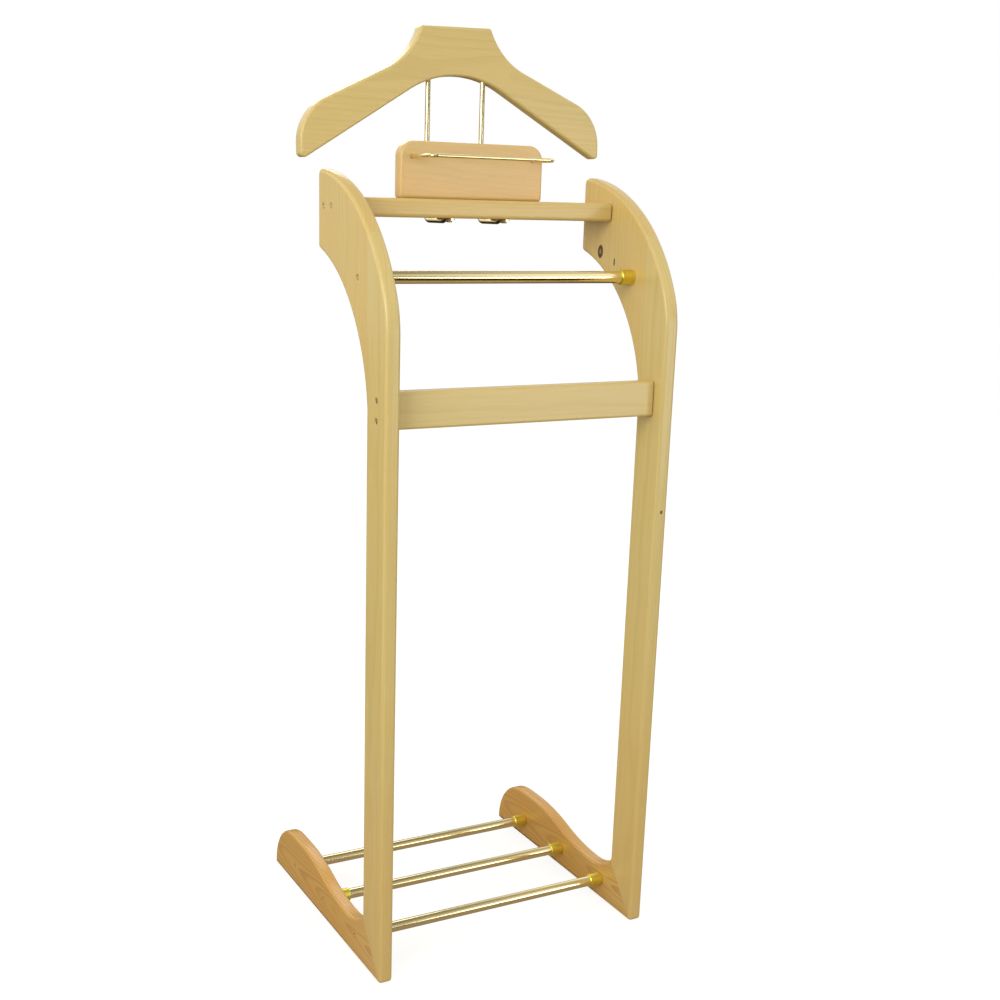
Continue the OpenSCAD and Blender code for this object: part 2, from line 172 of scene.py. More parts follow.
class ValetLook(bpy.types.PropertyGroup):
    """Colours and finish of pine and brass"""

    pale: colour("Pale pine", "Early wood of posts, heads, rails and hanger", (0.67, 0.505, 0.165))
    pale_late: colour("Pale late wood", "Late wood of the same boards", (0.52, 0.34, 0.080))
    warm: colour("Warm pine", "Early wood of heads and shelf", (0.665, 0.480, 0.140))
    warm_late: colour("Warm late wood", "Late wood of heads and shelf", (0.56, 0.33, 0.075))
    peach: colour("Peach pine", "Early wood of the back board", (0.69, 0.470, 0.158))
    peach_late: colour("Peach late wood", "Late wood of the back board", (0.62, 0.37, 0.12))
    tan: colour("Tan pine", "Early wood where posts and feet meet", (0.63, 0.42, 0.120))
    honey: colour("Honey pine", "Early wood of the feet", (0.61, 0.32, 0.036))
    honey_late: colour("Honey late wood", "Late wood of the feet", (0.46, 0.195, 0.018))
    knot: colour("Knot", "Dark rim of a knot", (0.060, 0.017, 0.002))
    coat: amount("Varnish", "Weight of the clear varnish", 0.35)
    coat_rough: amount("Varnish roughness", "Roughness of the varnish", 0.16)
    tube: colour("Tube brass", "Polished brass of bars and rods", (0.90, 0.78, 0.44))
    socket: colour("Socket brass", "Deeper yellow brass of the sockets", (0.86, 0.73, 0.12))
    screw: colour("Screw brass", "Duller brass of the screws", (0.88, 0.76, 0.48))
    beech: colour("Beech", "Raw beech of dowels and plugs", (0.60, 0.40, 0.22))


class ValetStudio(bpy.types.PropertyGroup):
    """Camera, floor and lights"""

    eye: bpy.props.FloatVectorProperty(
        name="Camera", description="Where the camera stands", size=3,
        default=(-0.9007, -1.6911, 1.0110), subtype="TRANSLATION", unit="LENGTH",
    )
    turn: bpy.props.FloatVectorProperty(
        name="Camera turn", description="How the camera is turned", size=3,
        default=tuple(math.radians(a) for a in (75.227, -1.320, -27.161)), subtype="EULER",
    )
    lens: bpy.props.FloatProperty(
        name="Lens", description="Focal length in millimetres", default=49.4, min=10, max=200,
    )
    shift: bpy.props.FloatVectorProperty(
        name="Lens shift", description="Sideways and upward shift of the frame", size=2,
        default=(0.0524, 0.0706),
    )
    floor: colour("Floor", "Pale floor", (0.88, 0.88, 0.87))
    key: amount("Key light", "Watts of the large light at the left", 37.0, 500.0)
    fill: amount("Fill light", "Watts of the light at the right", 17.0, 500.0)
    back: amount("Back light", "Watts of the light behind", 13.0, 500.0)


def sizes():
    return bpy.context.scene.valet_sizes


def look():
    return bpy.context.scene.valet_look


# ---------------------------------------------------------------- modelling helpers


def only(obj):
    """Back in object mode, obj is the one selected object."""
    active = bpy.context.view_layer.objects.active
    if active and active.mode != "OBJECT":
        bpy.ops.object.mode_set(mode="OBJECT")
    bpy.ops.object.select_all(action="DESELECT")
    if obj:
        obj.select_set(True)
        bpy.context.view_layer.objects.active = obj


def start_editing(obj):
    """Edit mode on obj, by vertices, with everything in it selected."""
    only(obj)
    bpy.ops.object.mode_set(mode="EDIT")
    bpy.ops.mesh.select_mode(type="VERT")
    bpy.ops.mesh.select_all(action="SELECT")


@contextmanager
def editing(obj):
    start_editing(obj)
    yield
    bpy.ops.object.mode_set(mode="OBJECT")


def pick(obj, kind, test):
    """In edit mode, selects the vertices, edges or faces that pass the test."""
    bpy.ops.mesh.select_mode(type=kind)
    bpy.ops.mesh.select_all(action="DESELECT")
    bpy.ops.object.mode_set(mode="OBJECT")
    mesh = obj.data
    items = {"VERT": mesh.vertices, "EDGE": mesh.edges, "FACE": mesh.polygons}[kind]
    for item in items:
        item.select = test(item)
    bpy.ops.object.mode_set(mode="EDIT")


def place_in_mesh(obj):
    only(obj)
    bpy.ops.object.transform_apply(location=True, rotation=True, scale=True)


def copy_of(obj, name):
    only(obj)
    bpy.ops.object.duplicate()
    twin = bpy.context.object
    twin.name = name
    return twin


def copy_to(obj, name, place, turn=0.0):
    """A copy with its own mesh, turned about Z (in radians) and moved to place."""
    twin = copy_of(obj, name)
    twin.location, twin.rotation_euler.z = place, turn
    place_in_mesh(twin)
    return twin


def join(objects, name):
    only(objects[0])
    for obj in objects[1:]:
        obj.select_set(True)
    if len(objects) > 1:
        bpy.ops.object.join()
    objects[0].name = name
    return objects[0]


def outwards():
    bpy.ops.mesh.select_all(action="SELECT")
    bpy.ops.mesh.remove_doubles(threshold=MERGE)
    bpy.ops.mesh.normals_make_consistent(inside=False)


def round_edges(obj, radius, segments=4):
    """Rounds every edge of obj that is sharp."""
    with editing(obj):
        bpy.ops.mesh.select_all(action="DESELECT")
        bpy.ops.mesh.select_mode(type="EDGE")
        bpy.ops.mesh.edges_select_sharp(sharpness=SHARP_ANGLE)
        bpy.ops.mesh.bevel(
            offset=radius, offset_type="OFFSET", segments=segments, profile=0.5,
            affect="EDGES", clamp_overlap=False, miter_outer="SHARP", miter_inner="SHARP",
        )
        outwards()


def cut(obj, cutter):
    """Takes the cutter's shape out of obj."""
    only(obj)
    change = obj.modifiers.new("Cut", "BOOLEAN")
    change.operation = "DIFFERENCE"
    change.solver = "MANIFOLD"
    change.object = cutter
    bpy.ops.object.modifier_apply(modifier=change.name)
    bpy.data.objects.remove(cutter)
    with editing(obj):
        bpy.ops.mesh.dissolve_degenerate(threshold=MERGE)
        bpy.ops.mesh.select_all(action="SELECT")
        bpy.ops.mesh.dissolve_limited(angle_limit=FLAT_ANGLE)


def saw(obj, through, away):
    """Cuts obj along a plane and drops what lies on the side that away points to."""
    with editing(obj):
        bpy.ops.mesh.bisect(
            plane_co=through, plane_no=away, use_fill=True, clear_outer=True, threshold=1e-6,
        )
        outwards()


def smooth(obj):
    """Smooth shading with flat faces kept flat."""
    only(obj)
    bpy.ops.object.shade_smooth_by_angle(angle=SMOOTH_ANGLE)
    even = obj.modifiers.new("Even", "WEIGHTED_NORMAL")
    even.keep_sharp = True
    even.weight = 100
    bpy.ops.object.modifier_apply(modifier=even.name)


def finish_piece(obj, nodes, material):
    """Checks obj against the CAD boxes it stands for, and gives it its finish."""
    smooth(obj)
    low, high = zip(*(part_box(n) for n in nodes))
    want = [Vector(map(min, zip(*low))), Vector(map(max, zip(*high)))]
    points = [v.co for v in obj.data.vertices]
    got = [Vector(map(min, zip(*points))), Vector(map(max, zip(*points)))]
    off = max(abs(a - b) for w, g in zip(want, got) for a, b in zip(w, g))
    if off > FIT:
        raise ValueError(f"{obj.name} is {off * 1000:.2f} mm off its CAD size: {got} for {want}")
    obj.data.materials.clear()
    obj.data.materials.append(material)
    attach(obj, BODY)
    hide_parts(*nodes)
    return obj


class Path:
    """A line in one plane, drawn by extruding and spinning its last point."""

    def __init__(self, name, start, origin, across, up):
        self.origin, self.across, self.up = Vector(origin), Vector(across), Vector(up)
        self.normal = self.across.cross(self.up)
        self.at = Vector(start)
        only(None)
        bpy.ops.mesh.primitive_plane_add(size=0.001, location=self.place(start))
        self.obj = bpy.context.object
        self.obj.name = name
        place_in_mesh(self.obj)
        start_editing(self.obj)
        bpy.ops.mesh.merge(type="CENTER")

    def place(self, point):
        return self.origin + self.across * point[0] + self.up * point[1]

    def line_to(self, point):
        step = self.place(point) - self.place(self.at)
        bpy.ops.mesh.extrude_region_move(TRANSFORM_OT_translate={"value": step})
        self.at = Vector(point)
        return self

    def arc(self, centre, degrees):
        """Turns round centre, from across towards up. The spin operator turns the other way."""
        steps = max(3, math.ceil(abs(degrees) / ARC_STEP))
        bpy.ops.mesh.spin(
            steps=steps, angle=-math.radians(degrees), center=self.place(centre), axis=self.normal
        )
        centre = Vector(centre)
        self.at = centre + Matrix.Rotation(math.radians(degrees), 2) @ (self.at - centre)
        return self

    def finish(self):
        bpy.ops.mesh.select_all(action="SELECT")
        bpy.ops.mesh.remove_doubles(threshold=MERGE)
        bpy.ops.object.mode_set(mode="OBJECT")
        return self.obj


def board_from(obj, step):
    """Fills the closed line that obj holds and extrudes it into a board."""
    with editing(obj):
        bpy.ops.mesh.edge_face_add()
        bpy.ops.mesh.extrude_region_move(TRANSFORM_OT_translate={"value": step})
        outwards()
    return obj


def box_board(name, low, high):
    """A squared board between two corners."""
    only(None)
    bpy.ops.mesh.primitive_cube_add(size=1, location=(low + high) / 2, scale=high - low)
    obj = bpy.context.object
    obj.name = name
    place_in_mesh(obj)
    return obj


def turned(name, origin, axis, profile, steps=32, closed=False):
    """A turned part: profile holds (distance along the axis, radius), spun right round."""
    up = X if abs(axis.dot(Z)) > 0.5 else Z
    line = Path(name, profile[0], origin, axis, up)
    for point in profile[1:]:
        line.line_to(point)
    if closed:
        line.line_to(profile[0])
    obj = line.finish()
    with editing(obj):
        bpy.ops.mesh.spin(steps=steps, angle=math.tau, center=origin, axis=axis)
        outwards()
    return obj


class Wire:
    """A round wire that is extruded straight and spun round its bends."""

    def __init__(self, name, start, direction, radius, sides=24):
        only(None)
        turn = direction.to_track_quat("Z", "Y").to_euler()
        bpy.ops.mesh.primitive_circle_add(
            vertices=sides, radius=radius, fill_type="NOTHING", location=start, rotation=turn
        )
        self.obj = bpy.context.object
        self.obj.name = name
        place_in_mesh(self.obj)
        start_editing(self.obj)
        self.at = Vector(start)

    def straight(self, step):
        bpy.ops.mesh.extrude_region_move(TRANSFORM_OT_translate={"value": step})
        self.at += step
        return self

    def bend(self, centre, axis, degrees, steps=12):
        bpy.ops.mesh.spin(
            steps=steps, angle=-math.radians(degrees), center=centre, axis=axis
        )
        turn = Matrix.Rotation(math.radians(degrees), 3, axis)
        self.at = centre + turn @ (self.at - centre)
        return self

    def squeeze(self, scale):
        bpy.ops.transform.resize(value=scale, center_override=self.at)
        return self

    def finish(self):
        bpy.ops.mesh.select_all(action="SELECT")
        bpy.ops.mesh.remove_doubles(threshold=MERGE)
        bpy.ops.mesh.select_all(action="SELECT")
        bpy.ops.mesh.fill_holes(sides=0)
        outwards()
        bpy.ops.object.mode_set(mode="OBJECT")
        return self.obj


# ---------------------------------------------------------------- materials


class Value:
    """A shader socket that can be used in sums."""

    def __init__(self, shader, socket):
        self.shader, self.socket = shader, socket

    def maths(self, operation, *others):
        values = dict(enumerate((self, *others)))
        return self.shader.node("ShaderNodeMath", {"operation": operation}, values)

    def __add__(self, other):
        return self.maths("ADD", other)

    def __sub__(self, other):
        return self.maths("SUBTRACT", other)

    def __rsub__(self, other):
        return self.shader.node("ShaderNodeMath", {"operation": "SUBTRACT"}, {0: other, 1: self})

    def __rtruediv__(self, other):
        return self.shader.node("ShaderNodeMath", {"operation": "DIVIDE"}, {0: other, 1: self})

    def __mul__(self, other):
        return self.maths("MULTIPLY", other)

    def __truediv__(self, other):
        return self.maths("DIVIDE", other)

    __radd__ = __add__
    __rmul__ = __mul__

    def root(self):
        return self.maths("SQRT")

    def fraction(self):
        return self.maths("FRACT")

    def floor(self):
        return self.maths("FLOOR")

    def at_most(self, other):
        return self.maths("MINIMUM", other)

    def step(self, low, high):
        """Rises softly from 0 at low to 1 at high."""
        return self.shader.node(
            "ShaderNodeMapRange", {"interpolation_type": "SMOOTHSTEP"}, {0: self, 1: low, 2: high}
        )


class Shader:
    """The nodes of one material or world."""

    def __init__(self, block):
        self.block = block
        block.use_nodes = True
        self.tree = block.node_tree
        self.tree.nodes.clear()

    def node(self, kind, settings=None, inputs=None, output=0):
        made = self.tree.nodes.new(kind)
        for name, setting in (settings or {}).items():
            setattr(made, name, setting)
        for key, value in (inputs or {}).items():
            if isinstance(value, Value):
                self.tree.links.new(value.socket, made.inputs[key])
            else:
                made.inputs[key].default_value = value
        return Value(self, made.outputs[output]) if made.outputs else None

    def mix(self, factor, a, b, blend="MIX"):
        a, b = ((*c, 1) if isinstance(c, tuple) else c for c in (a, b))
        return self.node(
            "ShaderNodeMix", {"data_type": "RGBA", "blend_type": blend}, {0: factor, 6: a, 7: b}, 2
        )

    def coordinates(self, centre=(0, 0, 0), slant=(0, 0, 0)):
        seen = self.node("ShaderNodeTexCoord", output="Object")
        return self.node(
            "ShaderNodeMapping", {"vector_type": "TEXTURE"}, {0: seen, 1: centre, 2: slant}
        )

    def combine(self, x, y, z):
        return self.node("ShaderNodeCombineXYZ", inputs={0: x, 1: y, 2: z})

    def noise(self, where, scale, detail=2.0, rough=0.5):
        return self.node(
            "ShaderNodeTexNoise", {"noise_dimensions": "3D"},
            {"Vector": where, "Scale": scale, "Detail": detail, "Roughness": rough},
        )

    def surface(self, inputs, height=None, strength=0.1, depth=0.0005):
        if height is not None:
            inputs["Normal"] = self.node(
                "ShaderNodeBump", {}, {"Strength": strength, "Distance": depth, "Height": height}
            )
        done = self.node("ShaderNodeBsdfPrincipled", {}, inputs, "BSDF")
        self.node("ShaderNodeOutputMaterial", {}, {"Surface": done})
        return self.block


KNOT_PULL, KNOT_CORE = 0.9, 0.55  # how far rings bend round a knot, and how sharply
VARNISH_IOR = 1.5
LINES_ACROSS, LINES_ALONG = 3000.0, 12.0  # scale of the brass's polishing lines
MIRRORED_DIM, HORIZON_DIM = 0.62, 0.55  # light taken off shade and ceiling, and off the horizon


def grey(tint, share):
    """The tint with its light multiplied by share."""
    return tuple(c * share for c in tint)


def pine(name, node, order, early, late, heart=(0.05, 0.0), slant=(0, 0, 0), ring=0.0042,
         contrast=0.55, wobble=0.006, taper=0.0, knots=(), edge_knots=False, fade=None, shift=0.0):
    """Varnished pine. order names the axes along the grain, through and across the board;
    heart is where the tree's centre lies behind and beside the middle of the board."""
    s = Shader(bpy.data.materials.new(name))
    low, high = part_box(node)
    place = s.coordinates(tuple((low + high) / 2), slant)
    split = {
        axis: s.node("ShaderNodeSeparateXYZ", {}, {0: place}, i) for i, axis in enumerate("xyz")
    }
    along, depth, across = (split[axis] for axis in order)
    drift = s.combine(along * 2.2 + shift, depth * 5.0, across * 5.0)
    sway_a = s.noise(drift, 1.6, 1.5) - 0.5
    sway_b = s.noise(s.combine(along * 3.1 - shift, across * 6.0, depth * 6.0), 1.9, 1.5) - 0.5
    ripple = s.noise(s.combine(along * 14.0, depth * 60.0, across * 60.0 + shift), 1.0, 2.0) - 0.5

    through = depth + heart[0] + sway_a * wobble + along * taper
    beside = across - heart[1] + sway_b * wobble * 0.6
    marks = dark_core = dark_rim = 0.0
    for knot_along, knot_beside, size, stretch in knots:
        a = (along - knot_along) / (stretch * size)
        b = ((depth if edge_knots else across) - knot_beside) / size
        away = (a * a + b * b).root() + ripple * 0.5
        marks = KNOT_PULL * size / (KNOT_CORE + away * away) + marks
        dark_core = 1 - away.step(0.75, 1.0) + dark_core
        dark_rim = away.step(0.35, 0.60) * (1 - away.step(1.00, 1.30)) + dark_rim
    radius = (through * through + beside * beside).root() + marks
    count = radius / ring + ripple * 0.22 + sway_b * 1.3
    t = count.fraction()
    year = s.node("ShaderNodeTexWhiteNoise", {"noise_dimensions": "1D"}, {"W": count.floor()})
    late_wood = t.step(0.35, 0.86) * (1 - t.step(0.90, 1.0)) * (year * 0.65 + 0.35)

    fibre_at = s.combine(along * 22.0 + shift, depth * 1500.0, across * 1500.0)
    fibre = s.noise(fibre_at, 1.0, 3.0, 0.6)
    streak = s.noise(s.combine(along * 6.0, depth * 210.0, across * 210.0 + shift), 1.0, 3.0, 0.6)
    blotch = s.noise(s.combine(along * 3.0, depth * 9.0, across * 9.0 + shift), 1.0, 2.0)

    if fade:
        early = s.mix(along.step(*fade[:2]), fade[2], early)
    wood = s.mix(late_wood * contrast, early, late)
    wood = s.mix(blotch.step(0.35, 0.75) * 0.30, wood, grey(late, 1.35))
    wood = s.mix(streak.step(0.42, 0.85) * 0.34, wood, grey(late, 1.15))
    wood = s.mix(fibre.step(0.25, 0.85) * 0.20, wood, s.mix(0.5, early, (1.0, 0.95, 0.8)))
    duct_at = s.combine(along * 90.0, depth * 900.0, across * 900.0 + shift)
    duct = s.noise(duct_at, 1.0, 1.0).step(0.74, 0.82)
    wood = s.mix(duct * 0.35, wood, grey(late, 0.45))
    if knots:
        knot = tuple(look().knot)
        wood = s.mix(dark_core.at_most(1.0), wood, grey(late, 0.55))
        wood = s.mix(dark_rim.at_most(1.0) * 0.95, wood, knot)
    rough = late_wood * 0.06 + fibre * 0.10 + 0.33
    return s.surface(
        {
            "Base Color": wood, "Roughness": rough, "Coat Weight": look().coat,
            "Coat Roughness": look().coat_rough, "Coat IOR": VARNISH_IOR, "Specular IOR Level": 0.4,
        },
        height=fibre * 0.7 + late_wood * 0.5 - duct * 0.8, strength=0.18, depth=0.0003,
    )


def brass(name, tint, low=0.10, high=0.22, dull=0.10, turned_about="x"):
    """Lacquered brass with faint polishing lines round the bar and a few dull patches."""
    s = Shader(bpy.data.materials.new(name))
    place = s.coordinates()
    split = [s.node("ShaderNodeSeparateXYZ", {}, {0: place}, i) for i in range(3)]
    scaled = [
        part * (LINES_ACROSS if axis == turned_about else LINES_ALONG)
        for axis, part in zip("xyz", split)
    ]
    lines = s.noise(s.combine(*scaled), 1.0, 2.0, 0.6)
    patches = s.noise(place, 38.0, 3.0, 0.6)
    specks = s.noise(place, 420.0, 2.0).step(0.66, 0.78)
    metal = s.mix(patches.step(0.45, 0.8) * dull, tint, grey(tint, 0.62))
    metal = s.mix(specks * 0.25, metal, grey(tint, 0.45))
    rough = lines * (high - low) + low + patches.step(0.5, 0.8) * 0.05
    return s.surface(
        {"Base Color": metal, "Metallic": 1.0, "Roughness": rough, "Specular Tint": (1, 1, 1, 1)},
        height=lines, strength=0.05, depth=0.00005,
    )


def beech(name):
    """Raw beech with short flecks."""
    s = Shader(bpy.data.materials.new(name))
    place = s.coordinates()
    fleck = s.noise(place, 900.0, 2.0).step(0.55, 0.7)
    cloud = s.noise(place, 60.0, 2.0)
    tint = tuple(look().beech)
    wood = s.mix(cloud * 0.5, tint, grey(tint, 0.75))
    wood = s.mix(fleck * 0.4, wood, grey(tint, 0.5))
    return s.surface({"Base Color": wood, "Roughness": cloud * 0.2 + 0.55}, cloud, 0.1, 0.0002)


# ---------------------------------------------------------------- pieces


def screw_way(name, outside, inward, reach):
    """Cutter for a countersunk clearance hole from the outer face inwards."""
    z = sizes()
    wide, narrow = z.screw_head_r + 0.0003, z.screw_shank_r + 0.00025
    profile = [
        (-OVERCUT, 0), (-OVERCUT, wide), (z.screw_let_in, wide),
        (z.screw_let_in + z.screw_cone, narrow), (reach + OVERCUT, narrow), (reach + OVERCUT, 0),
    ]
    return turned(name, outside, inward, profile)


def drill(name, mouth, inward, radius, reach):
    """Cutter for a plain hole."""
    profile = [(-OVERCUT, 0), (-OVERCUT, radius), (reach, radius), (reach, 0)]
    return turned(name, mouth, inward, profile, 24)


def bar_places(bars):
    """Middle of each bar's end as (y, z)."""
    middles = [sum(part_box(bar), Vector()) / 2 for bar in bars]
    return [(middle.y, middle.z) for middle in middles]


def rail_screw_places():
    low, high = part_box("middle_rail_screws")
    r = sizes().screw_head_r
    return [((low.y + high.y) / 2, z) for z in (low.z + r, high.z - r)]


def shelf_screw_places():
    low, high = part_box("shelf_screws")
    r = sizes().screw_head_r
    return [(y, (low.z + high.z) / 2) for y in (low.y + r, high.y - r)]


def neck_turn():
    """Degrees that the foot's sweep turns before it meets the post."""
    z = sizes()
    post_low, post_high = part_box("left_post")
    return math.degrees(math.asin((z.foot_dip_y - (post_high.y - post_low.y)) / z.foot_sweep_r))


def neck_height():
    """Height at which the foot's sweep meets the post."""
    z = sizes()
    return z.foot_dip_h + z.foot_sweep_r * (1 - math.cos(math.radians(neck_turn())))


def side_outline():
    """Closed outline of the whole left frame: foot, post and head in one line."""
    z = sizes()
    post_low, post_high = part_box("left_post")
    head_low, head_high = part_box("left_head")
    foot_low, foot_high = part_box("left_foot")
    front, foot_len, hump = post_low.y, foot_high.y - foot_low.y, foot_high.z
    post_w, head_d, toe_z = post_high.y - front, head_high.y - front, head_low.z

    nose_c = (foot_len - z.foot_nose_r, hump - z.foot_nose_r)
    hump_c = Vector((z.foot_hump_y, hump - z.foot_hump_r))
    rise, run = z.foot_dip_h - hump_c.y, z.foot_hump_y - z.foot_dip_y
    dip_r = (run ** 2 + rise ** 2 - z.foot_hump_r ** 2) / (2 * (z.foot_hump_r - rise))
    dip_c = Vector((z.foot_dip_y, z.foot_dip_h + dip_r))
    turn = math.degrees(math.atan2(*reversed(dip_c - hump_c))) - 90
    sweep_c = (z.foot_dip_y, z.foot_dip_h + z.foot_sweep_r)

    rear_c = Vector((z.head_rear_y, z.head_rear_z))
    heel_z = rear_c.y + math.sqrt(z.head_rear_r ** 2 - (rear_c.x - head_d) ** 2)
    toe, heel = Vector((post_w, toe_z)) - rear_c, Vector((head_d, heel_z)) - rear_c
    hollow = math.degrees(math.atan2(heel.y, heel.x) - math.atan2(toe.y, toe.x))
    front_c = Vector((z.head_front_y, z.head_front_z))
    corner_y = head_d - z.head_corner_r
    reach = z.head_front_r - z.head_corner_r
    corner_rise = math.sqrt(reach ** 2 - (front_c.x - corner_y) ** 2)
    corner_c = (corner_y, front_c.y + corner_rise)
    corner = math.degrees(math.atan2(corner_rise, corner_y - front_c.x))
    blend_rise = math.sqrt(
        (z.head_front_r - z.head_blend_r) ** 2 - (front_c.x - z.head_blend_r) ** 2
    )
    blend_c = (z.head_blend_r, front_c.y + blend_rise)
    blend = math.degrees(math.atan2(blend_rise, z.head_blend_r - front_c.x))

    line = Path("side_blank", (0, 0), (post_low.x, front, 0), Y, Z)
    line.line_to((foot_len, 0)).line_to((foot_len, nose_c[1])).arc(nose_c, 90)
    line.line_to((z.foot_hump_y, hump)).arc(hump_c, turn).arc(dip_c, -turn)
    line.arc(sweep_c, -neck_turn()).line_to((post_w, toe_z)).arc(rear_c, hollow)
    line.line_to((head_d, corner_c[1])).arc(corner_c, corner)
    line.arc(front_c, blend - corner).arc(blend_c, 180 - blend).line_to((0, 0))
    return line.finish(), post_high.x - post_low.x


class VALET_OT_side_frames(bpy.types.Operator):
    """Draw each side frame as one board, round it, and saw it into post, head and foot"""

    bl_idname = "valet.side_frames"
    bl_label = "Side Frames"

    def execute(self, context):
        outline, thick = side_outline()
        pattern = board_from(outline, X * thick)
        round_edges(pattern, sizes().frame_round)
        left_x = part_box("left_post")[0].x
        neck_z = neck_height()
        for side, sign in SIDES.items():
            low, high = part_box(f"{side}_post")
            blank = copy_to(pattern, f"{side}_blank", X * (low.x - left_x))
            corner = Vector((low.x, low.y, 0))
            mitre = Vector((0, neck_z, low.y - high.y)).normalized()
            glue = Vector((0, high.y + HAIR, 0))
            outer = (high if sign > 0 else low).x
            between = Vector((0, 0, (neck_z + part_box(f"{side}_head")[0].z) / 2))
            cuts = {"post": [(corner, mitre), (glue, Y)], "head": [(between, -Z), (glue, -Y)],
                    "foot": [(corner, -mitre)]}
            ways = {"post": rail_screw_places(), "foot": bar_places(SHOE_BARS),
                    "head": shelf_screw_places() + bar_places(["trouser_bar"])}
            woods = self.woods(side)
            for kind, planes in cuts.items():
                part = copy_of(blank, f"{side}_{kind}_wood")
                for through, away in planes:
                    saw(part, through, away)
                cut(part, join([
                    screw_way("way", Vector((outer, y, height)), X * -sign, thick)
                    for y, height in ways[kind]
                ], "ways"))
                finish_piece(part, [f"{side}_{kind}"], woods[kind])
            bpy.data.objects.remove(blank)
        bpy.data.objects.remove(pattern)
        return {"FINISHED"}

    def woods(self, side):
        c = look()
        pale, pale_late = tuple(c.pale), tuple(c.pale_late)
        warm, warm_late = tuple(c.warm), tuple(c.warm_late)
        honey, honey_late, tan = tuple(c.honey), tuple(c.honey_late), tuple(c.tan)
        left = side == "left"
        middle = sum(corner.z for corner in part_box(f"{side}_head")) / 2
        return {
            "post": pine(
                f"pine_{side}_post", f"{side}_post", "zxy", pale, pale_late,
                heart=(0.090, 0.012 if left else -0.020), slant=(0.004, 0.003, 0),
                ring=0.0046, contrast=0.30, wobble=0.010, fade=(-0.42, -0.02, tan),
                shift=1.3 if left else 7.7,
                knots=() if left else ((0.126, 0.0, 0.0018, 1.2),), edge_knots=True,
            ),
            "head": pine(
                f"pine_{side}_head", f"{side}_head", "zxy", warm, warm_late,
                heart=(0.070, -0.030 if left else 0.026), slant=(0.02, 0.01, 0),
                ring=0.0052, contrast=0.34, wobble=0.012, shift=4.1 if left else 2.9,
                knots=() if left else ((0.9572 - middle, 0.0305, 0.0056, 1.4),
                                       (0.9451 - middle, -0.0057, 0.0016, 2.8)),
            ),
            "foot": pine(
                f"pine_{side}_foot", f"{side}_foot", "yxz", honey, honey_late,
                heart=(0.032, -0.006), slant=(0.0, 0.0, 0.006), ring=0.0042, contrast=0.85,
                wobble=0.009, taper=0.055, fade=(-0.28, -0.02, tan), shift=5.2 if left else 9.4,
            ),
        }


class VALET_OT_middle_rail(bpy.types.Operator):
    """Square up the middle rail and round its edges"""

    bl_idname = "valet.middle_rail"
    bl_label = "Middle Rail"

    def execute(self, context):
        c = look()
        rail = box_board("middle_rail_wood", *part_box("middle_rail"))
        round_edges(rail, sizes().rail_round)
        wood = pine("pine_middle_rail", "middle_rail", "xyz", tuple(c.pale), tuple(c.pale_late),
                    heart=(0.060, 0.010), slant=(0, 0.004, 0.006), ring=0.0044, contrast=0.36,
                    wobble=0.010, shift=3.3)
        finish_piece(rail, ["middle_rail"], wood)
        return {"FINISHED"}


class VALET_OT_shelf(bpy.types.Operator):
    """Square up the top shelf and round its edges"""

    bl_idname = "valet.shelf"
    bl_label = "Top Shelf"

    def execute(self, context):
        c = look()
        shelf = box_board("top_shelf_wood", *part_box("top_shelf"))
        round_edges(shelf, sizes().shelf_round)
        wood = pine("pine_top_shelf", "top_shelf", "xzy", tuple(c.warm), tuple(c.warm_late),
                    heart=(0.055, -0.02), slant=(0, 0.003, 0.01), ring=0.0046, contrast=0.34,
                    wobble=0.010, shift=6.1)
        finish_piece(shelf, ["top_shelf"], wood)
        return {"FINISHED"}


class VALET_OT_back_board(bpy.types.Operator):
    """Round the back board's upper corners and edges, and drill it for the tie bar"""

    bl_idname = "valet.back_board"
    bl_label = "Back Board"

    def execute(self, context):
        z, c = sizes(), look()
        low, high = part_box("back_board")
        board = box_board("back_board_wood", low, high)
        with editing(board):
            mesh = board.data

            def top_corner(edge):
                a, b = (mesh.vertices[v].co for v in edge.vertices)
                return min(a.z, b.z) > high.z - MERGE and abs(a.x - b.x) < MERGE

            pick(board, "EDGE", top_corner)
            bpy.ops.mesh.bevel(offset=z.board_corner_r, segments=20, profile=0.5, affect="EDGES")
        round_edges(board, z.board_round, 3)
        tie_low, tie_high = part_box("tie_bar")
        leg = z.tie_d / 2
        for x in (tie_low.x + leg, tie_high.x - leg):
            mouth = Vector((x, low.y, (tie_low.z + tie_high.z) / 2))
            cut(board, drill("leg_hole", mouth, Y, leg + 0.0003, tie_high.y - low.y))
        wood = pine("pine_back_board", "back_board", "xyz", tuple(c.peach), tuple(c.peach_late),
                    heart=(0.050, 0.018), slant=(0, 0.03, 0.02), ring=0.0050, contrast=0.40,
                    wobble=0.014, shift=8.8)
        finish_piece(board, ["back_board"], wood)
        return {"FINISHED"}


